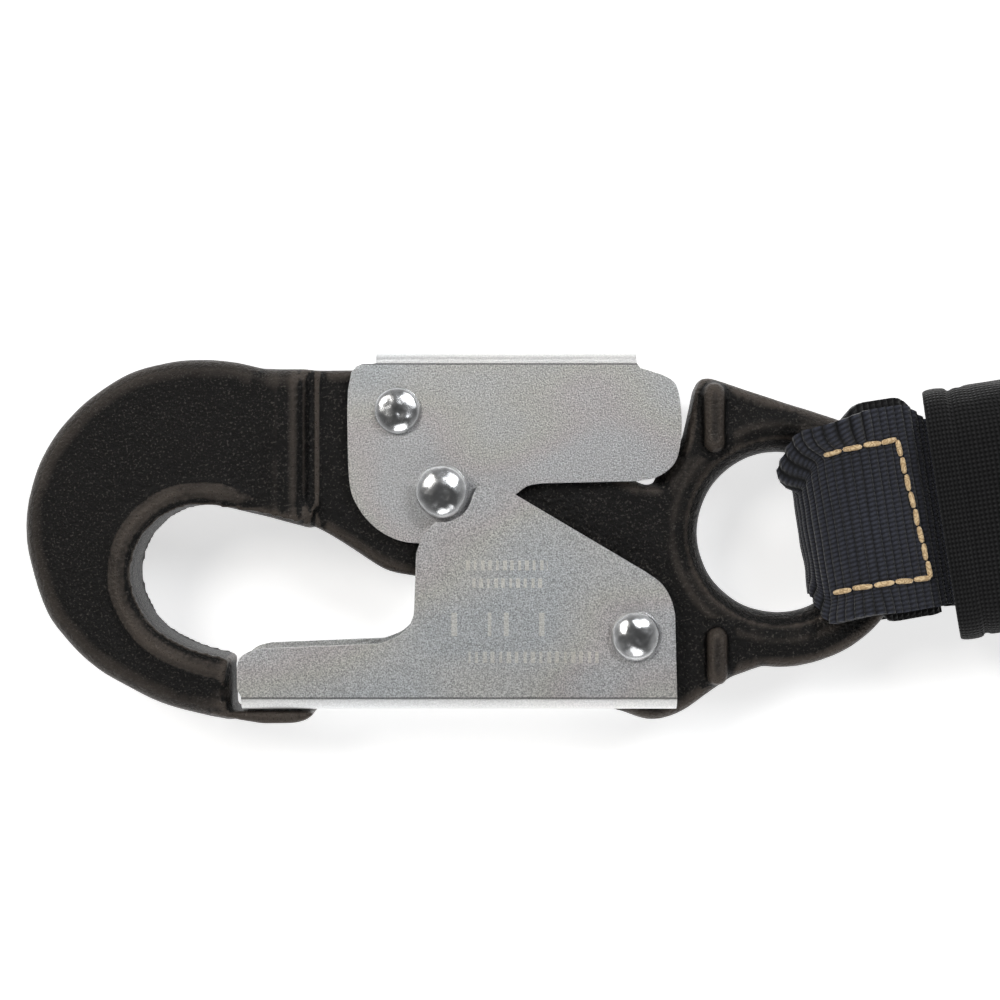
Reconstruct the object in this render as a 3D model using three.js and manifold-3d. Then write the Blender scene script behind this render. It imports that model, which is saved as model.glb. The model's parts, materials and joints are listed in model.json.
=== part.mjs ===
// Shock absorbing lanyard: a double-action snap hook at each end, a tear-web shock absorber in a
// knit sleeve, and a webbing leg put away as a tied hank. Millimetres, +Z up, laid flat on z = 0.
// +X runs from the harness hook along the absorber; the hank and the anchor hook lie beside it.
import * as THREE from "three";
import { mergeVertices } from "three/addons/utils/BufferGeometryUtils.js";
import Module from "manifold-3d";

const wasm = await Module();
wasm.setup();

// Clearances.
const gap = 0.3; // between two pieces that touch
const slideGap = 0.4; // between plates that slide past each other
const pinGap = 0.3; // round a shank in its hole

// Snap hook: thicknesses are half thicknesses from the hook's middle plane.
const webHalf = 4.0;
const bowlHalf = 6.5;
const ribHalf = 6.4;
const leverSheet = 1.3;
const gateSheet = 1.5;
const headRise = 2.0;
const eyeRadius = 12.2;
const ringRadius = 20.4;
const leverRivetRadius = 2.6;
const gateRivetRadius = 3.0;
const lockPinRadius = 2.1;
const leverTravel = 26; // degrees
const springWire = 0.8;

// Places in the hook's own frame: the eye's centre is the origin, the bowl lies towards -X.
const leverPivot = new THREE.Vector2(-57.7, 18.3);
const lockPin = new THREE.Vector2(-51.0, 6.2);
const gatePivot = new THREE.Vector2(-22.1, -15.3);
const stepX = -71.0; // the thick bowl ends here and the thin web starts
const valleyY = 7.2; // floor of the valley that the lever sinks into
const backRim = 6.3; // web above the lever rivet
const lobeRadius = 11.9; // web round the gate rivet
const noseX = -82.6; // shoulder that the gate's tip closes against
const gateSpineY = -26.4; // outer face of the gate's spine
const leverSpineY = 26.9; // outer face of the lever's spine
const tongueThickness = 1.7;

// Webbing and its layout on the table.
const webbingWidth = 32;
const webbingThickness = 1.6;
const padThickness = 0.9;
const barClearance = 1.1; // wear pad round the turning bar of the ring
const eyeClearance = 2.8; // webbing to the sides of the eye, for the hook's swing
const foldBack = 3.2; // the loop's fold lies this far beyond the middle of the bar
const legTaper = THREE.MathUtils.degToRad(12.4); // the loop's two legs run together
const loopEnd = 30;
const padEnd = 6;
const hookSkew = THREE.MathUtils.degToRad(-9); // how the hook lies in its loop
const sleeveStart = 8.4;
const sleeveWall = 1.4;
const sleeveCorner = sleeveWall + 1.6;
const absorberLength = 190;
const absorberWidth = 39;
const absorberHeight = 22.4;
const tearWebHeight = 10.8;
const spliceLength = 50; // sleeve over the anchor loop's stitched splice
const foldThickness = 4.4; // two layers of webbing in a flat fold
const hankLength = 154;
const hankHeight = 17;
const tieWidth = 22;
const tieThickness = 1.2;
const rowGap = 9.5; // table between the absorber and the hank
const hookRowGap = 29; // table between the hank and the middle line of the anchor hook
const slopeLength = 38;
const labelLength = 58;
const labelWidth = 30;
const labelThickness = 0.8;

// Levels up through the stack of plates, worked out from the web.
const leverInner = webHalf + slideGap;
const leverOuter = leverInner + leverSheet;
const gateInner = leverOuter + slideGap;
const gateOuter = gateInner + gateSheet;
const headSeat = gateOuter + gap;
const headTop = headSeat + headRise;

// The ring's bar turns inside the loop, so the loop's radii follow the bar's section.
const barReach = (eyeRadius + ringRadius) / 2;
const padRadius = Math.hypot((ringRadius - eyeRadius) / 2, webHalf) + barClearance;
const loopRadius = padRadius + padThickness + gap;
const loopOuter = loopRadius + webbingThickness;
const middleZ = Math.max(headTop, loopOuter); // the hook's middle plane above the table
const spliceHeight = middleZ + legRise(loopOuter, sleeveStart) + gap + sleeveWall;

const forgedBlack = metal(0x1b1b1d, 0.45, 0.6);
const zincPlate = metal(0xa9abab, 0.38, 0.9);
const polishedSteel = metal(0xc8cacc, 0.15, 1.0);
const springSteel = metal(0x77797c, 0.35, 1.0);
const navyWebbing = cloth(0x262832, 0.9);
const padWebbing = cloth(0x15161a, 0.9);
const blackKnit = cloth(0x1c1c1d, 0.95);
const tearWebbing = cloth(0x8a8474, 0.9);
const elasticBand = cloth(0x101012, 0.8);
const labelVinyl = cloth(0xd8d6cc, 0.5);

function metal(color, roughness, metalness) {
  return new THREE.MeshStandardMaterial({ color, roughness, metalness });
}

function cloth(color, roughness) {
  return new THREE.MeshStandardMaterial({ color, roughness, metalness: 0 });
}

// A three.js geometry as a solid that can be cut and joined.
function solid(geometry) {
  const bare = geometry.clone();
  bare.deleteAttribute("normal");
  bare.deleteAttribute("uv");
  const merged = mergeVertices(bare, 1e-4);
  return new wasm.Manifold(
    new wasm.Mesh({
      numProp: 3,
      vertProperties: merged.attributes.position.array,
      triVerts: new Uint32Array(merged.index.array),
    }),
  );
}

// A solid back as a named mesh.
function piece(name, shape, material) {
  const made = shape.getMesh();
  const geometry = new THREE.BufferGeometry();
  geometry.setAttribute("position", new THREE.BufferAttribute(made.vertProperties, 3));
  geometry.setIndex(new THREE.BufferAttribute(made.triVerts, 1));
  geometry.computeVertexNormals();
  const mesh = new THREE.Mesh(geometry, material);
  mesh.name = name;
  return mesh;
}

// A flat outline as a plate centred on z = 0, with chamfered edges.
function slab(outline, half, edge = 0) {
  const made = new THREE.ExtrudeGeometry(outline, {
    depth: 2 * (half - edge),
    bevelEnabled: edge > 0,
    bevelThickness: edge,
    bevelSize: edge,
    bevelOffset: -edge,
    bevelSegments: 1,
    curveSegments: 3,
  });
  return solid(made.translate(0, 0, edge - half));
}

// An outline between two levels.
function layer(outline, low, high) {
  const made = new THREE.ExtrudeGeometry(outline, {
    depth: high - low,
    bevelEnabled: false,
    curveSegments: 3,
  });
  return solid(made.translate(0, 0, low));
}

// A side view, drawn in X and Z, given a width along Y.
function band(outline, width) {
  const made = new THREE.ExtrudeGeometry(outline, {
    depth: width,
    bevelEnabled: false,
    curveSegments: 6,
  });
  return solid(made.translate(0, 0, -width / 2).rotateX(Math.PI / 2));
}

function block(lowX, highX, lowY, highY, lowZ, highZ) {
  const made = new THREE.BoxGeometry(highX - lowX, highY - lowY, highZ - lowZ);
  return solid(made.translate((lowX + highX) / 2, (lowY + highY) / 2, (lowZ + highZ) / 2));
}

function rod(centre, radius, low, high, sides = 16) {
  const made = new THREE.CylinderGeometry(radius, radius, high - low, sides);
  return solid(made.rotateX(Math.PI / 2).translate(centre.x, centre.y, (low + high) / 2));
}

function points(...pairs) {
  return pairs.map(([x, y]) => new THREE.Vector2(x, y));
}

// ---- Snap hook ----------------------------------------------------------------------------

function bowlOutline() {
  const s = new THREE.Shape();
  s.moveTo(stepX, 24.7);
  s.lineTo(-78.0, 24.7);
  s.splineThru(points([-82.0, 25.7], [-87.0, 26.1], [-93.0, 25.6], [-99.6, 23.4], [-106.5, 18.2],
    [-111.6, 11.0], [-114.3, 1.0], [-112.4, -11.4], [-106.3, -19.4], [-98.8, -23.9],
    [-91.2, -27.0], [noseX, -28.3]));
  s.lineTo(noseX, -18.6);
  s.splineThru(points([-88.6, -16.6], [-93.4, -13.3], [-96.2, -8.0], [-95.4, -2.0], [-91.6, 2.4],
    [-86.4, 4.0], [-78.6, 3.0]));
  s.lineTo(stepX, 1.1);
  s.closePath();
  return s;
}

function webOutline() {
  const turn = THREE.MathUtils.degToRad(leverTravel);
  const slopeTop = new THREE.Vector2(
    leverPivot.x + backRim * Math.sin(turn),
    leverPivot.y + backRim * Math.cos(turn),
  );
  const valleyX = slopeTop.x + (slopeTop.y - valleyY) / Math.tan(turn);
  const shoulder = THREE.MathUtils.degToRad(50.6);
  const chin = THREE.MathUtils.degToRad(-97);
  const s = new THREE.Shape();
  s.moveTo(stepX - 5, leverPivot.y + backRim);
  s.lineTo(leverPivot.x, leverPivot.y + backRim);
  s.absarc(leverPivot.x, leverPivot.y, backRim, Math.PI / 2, Math.PI / 2 - turn, true);
  s.lineTo(valleyX, valleyY);
  s.lineTo(-17.4, valleyY);
  s.splineThru(points([-16.0, 8.6], [-14.4, 14.0], [-12.8, 21.6]));
  s.lineTo(-11.2, 23.4);
  s.lineTo(ringRadius * Math.cos(shoulder), ringRadius * Math.sin(shoulder));
  s.absarc(0, 0, ringRadius, shoulder, 0, true);
  s.absarc(0, 0, ringRadius, 0, chin, true);
  s.splineThru(points([-7.3, -21.9], [-11.6, -24.9], [-15.2, -27.3], [-19.5, -28.3],
    [gatePivot.x - 1.6, gatePivot.y - lobeRadius + 0.1]));
  s.absarc(gatePivot.x, gatePivot.y, lobeRadius, -1.75, -Math.PI, true);
  s.splineThru(points([-38.0, -12.2], [-45.0, -9.2], [-54.0, -6.9], [-59.6, -5.7],
    [-64.6, -2.5], [-69.4, 0.4]));
  s.lineTo(stepX - 5, 3.4);
  s.closePath();
  return s;
}

// The arc slot in the web that the lock pin travels in as the lever is squeezed.
function pinSlot() {
  const reach = lockPin.distanceTo(leverPivot);
  const start = Math.atan2(lockPin.y - leverPivot.y, lockPin.x - leverPivot.x);
  const end = start - THREE.MathUtils.degToRad(leverTravel);
  const half = lockPinRadius + pinGap;
  const at = (angle) => new THREE.Vector2(
    leverPivot.x + reach * Math.cos(angle),
    leverPivot.y + reach * Math.sin(angle),
  );
  const [a, b] = [at(start), at(end)];
  const s = new THREE.Shape();
  s.absarc(leverPivot.x, leverPivot.y, reach + half, start, end, true);
  s.absarc(b.x, b.y, half, end, end - Math.PI, true);
  s.absarc(leverPivot.x, leverPivot.y, reach - half, end, start, false);
  s.absarc(a.x, a.y, half, start - Math.PI, start - 2 * Math.PI, true);
  return s;
}

function roundedBar(x, lowY, highY, half) {
  const s = new THREE.Shape();
  s.absarc(x, highY - half, half, 0, Math.PI, false);
  s.absarc(x, lowY + half, half, Math.PI, 2 * Math.PI, false);
  return s;
}

function tongueOutline() {
  const top = gateSpineY - slideGap;
  const s = new THREE.Shape();
  s.moveTo(noseX - 4, top);
  s.lineTo(-70.4, top);
  s.splineThru(points([-70.0, top - 0.6], [-72.4, top - tongueThickness],
    [-78.0, top - tongueThickness - 0.2]));
  s.lineTo(noseX - 4, top - tongueThickness);
  s.closePath();
  return s;
}

function hookBody() {
  const eye = new THREE.Vector2(0, 0);
  const webEdge = 1.2;
  const bowlEdge = 1;
  const springSeat = webHalf - 3 * springWire - gap;
  const springPocket = leverRivetRadius + pinGap + 2 * gap + springWire + gap;
  const ribTravel = ribHalf - 0.6;
  return slab(webOutline(), webHalf, webEdge)
    .add(slab(bowlOutline(), bowlHalf, bowlEdge))
    .add(slab(tongueOutline(), bowlHalf - 1.2))
    .add(slab(roundedBar(-10.1, 12.0, 23.6, 1.5), ribTravel, 0.6))
    .add(slab(roundedBar(-9.7, -23.0, -14.2, 1.5), ribTravel, 0.6))
    .subtract(rod(eye, eyeRadius, -bowlHalf, bowlHalf, 32))
    .subtract(layer(pinSlot(), -bowlHalf, bowlHalf))
    .subtract(rod(leverPivot, leverRivetRadius + pinGap, -bowlHalf, bowlHalf))
    .subtract(rod(gatePivot, gateRivetRadius + pinGap, -bowlHalf, bowlHalf))
    .subtract(rod(leverPivot, springPocket, springSeat, bowlHalf));
}

function leverOutline() {
  const spineEnd = leverSpineY - leverSheet;
  const s = new THREE.Shape();
  s.moveTo(-64.6, 24.0);
  s.lineTo(-63.3, spineEnd);
  s.lineTo(-61.8, spineEnd);
  s.lineTo(-60.6, leverSpineY);
  s.lineTo(-22.0, leverSpineY - 0.5);
  s.lineTo(-21.2, 24.7);
  s.lineTo(-18.0, 23.7);
  s.splineThru(points([-15.9, 22.2], [-15.1, 18.0], [-15.2, 13.6], [-16.2, 10.3], [-18.8, 8.3],
    [-22.1, 7.7]));
  s.lineTo(-35.7, 7.4);
  s.splineThru(points([-38.1, 7.0], [-40.1, 5.6], [-43.2, 3.4], [-46.4, 0.4], [-50.6, -1.4],
    [-54.9, -1.6], [-58.2, -0.9], [-61.3, 1.0], [-63.7, 4.0], [-64.9, 7.7], [-65.2, 16.9],
    [-65.1, 21.4]));
  s.closePath();
  return s;
}

function lockLever() {
  const inside = leverSpineY - leverSheet - 0.5;
  return slab(leverOutline(), leverOuter)
    .subtract(block(-80, 0, -20, inside, -leverInner, leverInner))
    .subtract(rod(leverPivot, leverRivetRadius + pinGap, -bowlHalf, bowlHalf))
    .subtract(rod(lockPin, lockPinRadius + pinGap, -bowlHalf, bowlHalf));
}

function gateOutline() {
  const notch = lockPinRadius + 2.5;
  const s = new THREE.Shape();
  s.moveTo(-44.8, 7.3);
  s.absarc(lockPin.x, lockPin.y, notch, -0.15, -1.75, true);
  s.lineTo(-53.9, -0.6);
  s.lineTo(-54.8, -3.0);
  s.lineTo(-55.1, -11.3);
  s.splineThru(points([-55.7, -13.7], [-57.6, -15.5], [-60.3, -16.6]));
  s.lineTo(-78.0, -17.3);
  s.splineThru(points([-79.9, -17.8], [-81.1, -18.7], [-81.5, -20.0]));
  s.lineTo(-81.5, -23.8);
  s.lineTo(-80.7, gateSpineY);
  s.lineTo(-15.9, gateSpineY);
  s.lineTo(-16.2, -12.2);
  s.splineThru(points([-16.8, -9.9], [-18.2, -7.6], [-20.6, -5.8]));
  s.lineTo(-40.1, 5.6);
  s.closePath();
  return s;
}

// A folded channel whose spine is slotted for the web's lobe round the rivet.
function gate() {
  const spineInside = gateSpineY + gateSheet;
  const drop = gatePivot.y - spineInside;
  const slotX = gatePivot.x - Math.hypot(lobeRadius, drop) * 0.5;
  return slab(gateOutline(), gateOuter)
    .subtract(block(-100, 0, spineInside, 20, -gateInner, gateInner))
    .subtract(block(slotX, 0, -40, 0, -leverInner, leverInner))
    .subtract(rod(gatePivot, gateRivetRadius + pinGap, -2 * bowlHalf, 2 * bowlHalf));
}

// A rivet with a low dome at each end; seat is where its heads start.
function rivet(centre, shank, head, seat, rise) {
  const half = [
    [shank, seat], [head, seat], [head, seat + 0.35 * rise], [0.85 * head, seat + 0.75 * rise],
    [0.5 * head, seat + rise], [0, seat + rise],
  ];
  const profile = [
    ...[...half].reverse().map(([r, z]) => new THREE.Vector2(r, -z)),
    ...half.map(([r, z]) => new THREE.Vector2(r, z)),
  ];
  const made = new THREE.LatheGeometry(profile, 14);
  return solid(made.rotateX(Math.PI / 2).translate(centre.x, centre.y, 0));
}

// A torsion spring round a rivet, with one straight leg that bears on the moving piece.
function torsionSpring(centre, inner, low, turns, legAngle, legLength) {
  const reach = inner + springWire / 2;
  const pitch = springWire + 0.2;
  const steps = Math.round(12 * turns);
  const path = [];
  for (let i = 0; i <= steps; i += 1) {
    const angle = legAngle + (2 * Math.PI * i) / 12;
    path.push(new THREE.Vector3(
      centre.x + reach * Math.cos(angle),
      centre.y + reach * Math.sin(angle),
      low + springWire / 2 + (pitch * i) / 12,
    ));
  }
  const tangent = new THREE.Vector3(Math.sin(legAngle), -Math.cos(legAngle), 0);
  const start = path[0].clone();
  for (const share of [0.5, 1]) {
    path.unshift(start.clone().addScaledVector(tangent, share * legLength));
  }
  const section = new THREE.Shape();
  section.absarc(0, 0, springWire / 2, 0, 2 * Math.PI, false);
  return solid(new THREE.ExtrudeGeometry(section, {
    extrudePath: new THREE.CatmullRomCurve3(path),
    steps: path.length,
    curveSegments: 3,
  }));
}

function snapHook(name) {
  const group = new THREE.Group();
  const gateSpringInner = gateRivetRadius + pinGap + gap;
  const leverSpringInner = leverRivetRadius + pinGap + gap;
  const leverSpringLow = webHalf - 3 * springWire;
  group.add(
    piece(name + "_hook_body", hookBody(), forgedBlack),
    piece(name + "_lock_lever", lockLever(), zincPlate),
    piece(name + "_gate", gate(), zincPlate),
    piece(name + "_lever_rivet",
      rivet(leverPivot, leverRivetRadius, 3.5, leverOuter + gap, 1.5), polishedSteel),
    piece(name + "_lock_pin", rivet(lockPin, lockPinRadius, 4.0, headSeat, headRise), polishedSteel),
    piece(name + "_gate_rivet",
      rivet(gatePivot, gateRivetRadius, 3.7, headSeat, headRise), polishedSteel),
    piece(name + "_lever_spring",
      torsionSpring(leverPivot, leverSpringInner, leverSpringLow, 1.6, 0.2, 0.6), springSteel),
    piece(name + "_gate_spring",
      torsionSpring(gatePivot, gateSpringInner, webHalf + 0.15, 1.2, 2.6, 7), springSteel),
  );
  group.position.set(-barReach * Math.cos(hookSkew / 2), barReach * Math.sin(hookSkew / 2), 0);
  const skewed = new THREE.Group();
  skewed.add(group);
  skewed.rotation.z = hookSkew;
  skewed.position.z = middleZ;
  return skewed;
}

// ---- Webbing ------------------------------------------------------------------------------

// How far a loop's straight leg, tangent to a fold of this radius, stands off the middle plane.
function legRise(radius, x) {
  return (radius - (x + foldBack) * Math.sin(legTaper)) / Math.cos(legTaper);
}

// The side view of a folded loop: round at the fold, its legs running together.
function loopOutline(radius, thickness, end) {
  const top = Math.PI / 2 - legTaper;
  const s = new THREE.Shape();
  s.moveTo(end, legRise(radius + thickness, end));
  s.absarc(-foldBack, 0, radius + thickness, top, Math.PI, false);
  s.absarc(-foldBack, 0, radius + thickness, Math.PI, 2 * Math.PI - top, false);
  s.lineTo(end, -legRise(radius + thickness, end));
  s.lineTo(end, -legRise(radius, end));
  s.absarc(-foldBack, 0, radius, 2 * Math.PI - top, Math.PI, true);
  s.absarc(-foldBack, 0, radius, Math.PI, top, true);
  s.lineTo(end, legRise(radius, end));
  s.closePath();
  return s;
}

// From above, the loop is squeezed where it passes through the eye.
function loopPlan() {
  const reach = Math.sqrt(padRadius ** 2 - webHalf ** 2) + foldBack;
  const offset = barReach - reach;
  const narrow = Math.sqrt(eyeRadius ** 2 - offset ** 2) - eyeClearance;
  const wide = webbingWidth / 2;
  const s = new THREE.Shape();
  s.moveTo(-2 * eyeRadius, -narrow);
  s.lineTo(-1, -narrow);
  s.lineTo(padEnd, -wide);
  s.lineTo(loopEnd + 1, -wide);
  s.lineTo(loopEnd + 1, wide);
  s.lineTo(padEnd, wide);
  s.lineTo(-1, narrow);
  s.lineTo(-2 * eyeRadius, narrow);
  s.closePath();
  return s;
}

function webbingLoop(radius, thickness, end) {
  return band(loopOutline(radius, thickness, end), webbingWidth)
    .intersect(layer(loopPlan(), -2 * loopOuter, 2 * loopOuter));
}

function roundedSection(width, low, high, radius) {
  const [x, r] = [width / 2, radius];
  const s = new THREE.Shape();
  s.absarc(x - r, low + r, r, -Math.PI / 2, 0, false);
  s.absarc(x - r, high - r, r, 0, Math.PI / 2, false);
  s.absarc(r - x, high - r, r, Math.PI / 2, Math.PI, false);
  s.absarc(r - x, low + r, r, Math.PI, 1.5 * Math.PI, false);
  return s;
}

// A tube along X, open at both ends, resting on the table.
function sleeve(start, length, width, low, high, wall, radius) {
  const section = roundedSection(width, low, high, radius);
  section.holes.push(roundedSection(width - 2 * wall, low + wall, high - wall, radius - wall));
  const made = new THREE.ExtrudeGeometry(section, {
    depth: length,
    bevelEnabled: false,
    curveSegments: 3,
  });
  return solid(made.rotateX(Math.PI / 2).rotateZ(Math.PI / 2).translate(start, 0, 0));
}

// A flat strap seen from the side that steps smoothly from one level to another.
function slopedStrap(startX, endX, startZ, endZ, thickness, width) {
  const middle = (startX + endX) / 2;
  const s = new THREE.Shape();
  s.moveTo(startX, startZ);
  s.bezierCurveTo(middle, startZ, middle, endZ, endX, endZ);
  s.lineTo(endX, endZ + thickness);
  s.bezierCurveTo(middle, endZ + thickness, middle, startZ + thickness, startX, startZ + thickness);
  s.closePath();
  return band(s, width);
}

// A stack of folded webbing: flat runs with round ends.
function foldedStack(startX, endX, low, high, width) {
  const r = (high - low) / 2;
  const s = new THREE.Shape();
  s.absarc(endX - r, low + r, r, -Math.PI / 2, Math.PI / 2, false);
  s.absarc(startX + r, low + r, r, Math.PI / 2, 1.5 * Math.PI, false);
  return band(s, width);
}

// A U-turn of flat webbing by two folds at 45 degrees; side is +1 where it comes in along +X.
function flatTurn(crossX, inX, outX, inY, outY, side) {
  const half = webbingWidth / 2;
  const near = crossX - side * half;
  const far = crossX + side * half;
  const corners = [
    [inX, inY + half], [near, inY + half], [far, inY - half], [far, outY + half],
    [near, outY - half], [outX, outY - half], [outX, outY + half], [near, outY + half],
    [near, inY - half], [inX, inY - half],
  ];
  return layer(new THREE.Shape(points(...corners)), 0, foldThickness);
}

function hookEnd(name) {
  const group = new THREE.Group();
  const loop = piece(name + "_loop", webbingLoop(loopRadius, webbingThickness, loopEnd), navyWebbing);
  const pad = piece(name + "_wear_pad", webbingLoop(padRadius, padThickness, padEnd), padWebbing);
  loop.position.z = middleZ;
  pad.position.z = middleZ;
  group.add(snapHook(name), loop, pad);
  return group;
}

// Where things lie along X and Y.
const absorberEnd = sleeveStart + absorberLength;
const packStart = loopEnd + 2;
const packEnd = absorberEnd - 10;
const packWidth = absorberWidth - 2 * sleeveWall - 2;
const packLow = sleeveWall + gap;
const packMiddle = packLow + tearWebHeight;
const hankY = -(absorberWidth / 2 + rowGap + webbingWidth / 2);
const hookY = hankY - webbingWidth / 2 - hookRowGap;
const slopeEnd = packEnd + slopeLength + 6;
const nearTurnX = slopeEnd + gap + 2 + webbingWidth / 2;
const hankEnd = nearTurnX - webbingWidth / 2 - 6;
const hankStart = hankEnd - hankLength;
const farSlopeEnd = hankStart - gap - 25;
const farTurnX = farSlopeEnd - gap - webbingWidth / 2;
const spliceEntry = farTurnX + webbingWidth / 2 + 26;
const anchorX = spliceEntry + spliceLength + sleeveStart;
const hankLow = tieThickness + gap;

function absorber() {
  const group = new THREE.Group();
  const cover = sleeve(sleeveStart, absorberLength, absorberWidth, 0, absorberHeight, sleeveWall,
    sleeveCorner);
  const tearWeb = foldedStack(packStart, packEnd, packLow, packMiddle, packWidth);
  const backup = foldedStack(packStart, packEnd, packMiddle + gap,
    absorberHeight - sleeveWall - gap, packWidth - 6);
  const label = block(absorberEnd - 14 - labelLength, absorberEnd - 14, -labelWidth / 2,
    labelWidth / 2, absorberHeight + gap, absorberHeight + gap + labelThickness);
  group.add(
    piece("absorber_sleeve", cover, blackKnit),
    piece("tear_web_pack", tearWeb, tearWebbing),
    piece("backup_strap", backup, padWebbing),
    piece("blank_label", label, labelVinyl),
  );
  return group;
}

function leg() {
  const group = new THREE.Group();
  const level = packLow + tearWebHeight / 2;
  const exit = slopedStrap(packEnd + gap, slopeEnd, level, 0, webbingThickness, webbingWidth);
  const nearTurn = flatTurn(nearTurnX, slopeEnd + gap, hankEnd + gap, 0, hankY, 1);
  const hank = foldedStack(hankStart, hankEnd, hankLow, hankLow + hankHeight, webbingWidth);
  const tieX = (hankStart + hankEnd - tieWidth) / 2;
  const tie = sleeve(tieX, tieWidth, webbingWidth + 2 * (gap + tieThickness), 0,
    hankLow + hankHeight + gap + tieThickness, tieThickness, tieThickness + 0.4);
  const farSlope = slopedStrap(farSlopeEnd, hankStart - gap, 0, hankHeight - 4, webbingThickness,
    webbingWidth);
  const farTurn = flatTurn(farTurnX, farSlopeEnd - gap, farTurnX + webbingWidth / 2 + gap,
    hankY, hookY, -1);
  const end = slopedStrap(farTurnX + webbingWidth / 2 + 2 * gap, spliceEntry + 10, 0,
    middleZ - webbingThickness, webbingThickness, webbingWidth);
  const alongHank = [
    piece("leg_hank", hank, navyWebbing),
    piece("hank_tie", tie, elasticBand),
    piece("leg_hank_run_out", farSlope, navyWebbing),
  ];
  alongHank.forEach((mesh) => mesh.position.setY(hankY));
  const endRun = piece("leg_anchor_run", end, navyWebbing);
  endRun.position.y = hookY;
  group.add(
    piece("leg_absorber_run", exit, navyWebbing),
    piece("leg_near_turn", nearTurn, navyWebbing),
    piece("leg_far_turn", farTurn, navyWebbing),
    ...alongHank,
    endRun,
  );
  return group;
}

// ---- The whole lanyard --------------------------------------------------------------------

const anchorEnd = hookEnd("anchor");
const splice = sleeve(sleeveStart, spliceLength, absorberWidth - 2, 0, spliceHeight, sleeveWall,
  sleeveCorner);
anchorEnd.add(piece("anchor_splice_sleeve", splice, blackKnit));
anchorEnd.rotation.z = Math.PI;
anchorEnd.position.set(anchorX, hookY, 0);

const lanyard = new THREE.Group();
lanyard.add(hookEnd("harness"), anchorEnd, absorber(), leg());

// The origin is the bottom centre of the whole object's box.
const whole = new THREE.Box3().setFromObject(lanyard, true);
const centre = whole.getCenter(new THREE.Vector3());
lanyard.position.set(-centre.x, -centre.y, -whole.min.z);

export default lanyard;
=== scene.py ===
"""Looks of a shock absorbing lanyard laid on a table, in metres, on its fixed frame."""

import json
import random
from math import atan2, copysign, cos, exp, pi, radians, sin, sqrt, tan

import bmesh
import bpy
from bmesh.types import BMEdge, BMFace, BMVert
from mathutils import Matrix, Vector, noise


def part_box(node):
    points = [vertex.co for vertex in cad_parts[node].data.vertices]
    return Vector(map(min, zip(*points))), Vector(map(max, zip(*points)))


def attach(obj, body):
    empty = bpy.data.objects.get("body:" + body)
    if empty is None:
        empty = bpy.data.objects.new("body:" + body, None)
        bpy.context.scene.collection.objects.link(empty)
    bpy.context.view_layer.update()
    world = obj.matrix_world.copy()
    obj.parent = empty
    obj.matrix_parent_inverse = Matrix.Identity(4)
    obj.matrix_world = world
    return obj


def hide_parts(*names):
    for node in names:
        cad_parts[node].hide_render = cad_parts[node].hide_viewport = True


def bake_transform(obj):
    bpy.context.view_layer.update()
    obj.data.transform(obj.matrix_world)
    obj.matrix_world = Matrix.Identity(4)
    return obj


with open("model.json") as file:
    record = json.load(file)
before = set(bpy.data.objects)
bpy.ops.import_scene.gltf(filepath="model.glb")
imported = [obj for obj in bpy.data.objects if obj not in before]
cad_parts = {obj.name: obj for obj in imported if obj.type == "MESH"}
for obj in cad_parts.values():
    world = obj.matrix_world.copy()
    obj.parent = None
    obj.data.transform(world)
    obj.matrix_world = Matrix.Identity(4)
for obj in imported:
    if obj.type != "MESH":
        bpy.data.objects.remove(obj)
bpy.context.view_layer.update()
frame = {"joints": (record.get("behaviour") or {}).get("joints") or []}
random.seed(7)

# ---- Table, light and camera ----
# The lanyard lies on a plain pale table. The camera looks straight down on the harness hook, turned
# with it, and the light is soft from all round with a darker patch of ceiling right above.

MM = 0.001
LEVER_PIVOT = Vector((-57.7, 18.3, 0))  # millimetres from the middle of the hook's eye
GATE_PIVOT = Vector((-22.1, -15.3, 0))
AIM = Vector((-42.3, 4.89, 307.6))
joints = {joint["name"]: joint for joint in frame["joints"]}


def hook_turn(end):
    """How far a hook's own frame is turned on the table."""
    lever, gate = (Vector(joints[end + part]["pos_m"]) for part in ("_lever_squeeze", "_gate_swing"))
    span, drawn = gate - lever, GATE_PIVOT - LEVER_PIVOT
    return atan2(span.y, span.x) - atan2(drawn.y, drawn.x)


def hook_place(end):
    """From a hook's own millimetres, with the eye's middle as origin, to its place on the table."""
    lever = Vector(joints[end + "_lever_squeeze"]["pos_m"])
    turned = Matrix.Translation(lever) @ Matrix.Rotation(hook_turn(end), 4, "Z")
    return turned @ Matrix.Scale(MM, 4) @ Matrix.Translation(-LEVER_PIVOT)


def put(name, data):
    """A new object in the scene that carries the data."""
    made = bpy.data.objects.new(name, data)
    bpy.context.collection.objects.link(made)
    return made


def mesh_of(bm, name):
    """A new mesh from a bmesh, which is freed."""
    mesh = bpy.data.meshes.new(name)
    bm.to_mesh(mesh)
    bm.free()
    return mesh


camera = put("camera", bpy.data.cameras.new("camera"))
camera.location = hook_place("harness") @ AIM
camera.rotation_euler = (0, 0, hook_turn("harness"))
camera.data.lens = 72.5
camera.data.sensor_width = 36
camera.data.clip_start = 0.01
bpy.context.scene.camera = camera
bpy.context.scene.view_settings.view_transform = "Standard"


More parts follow.
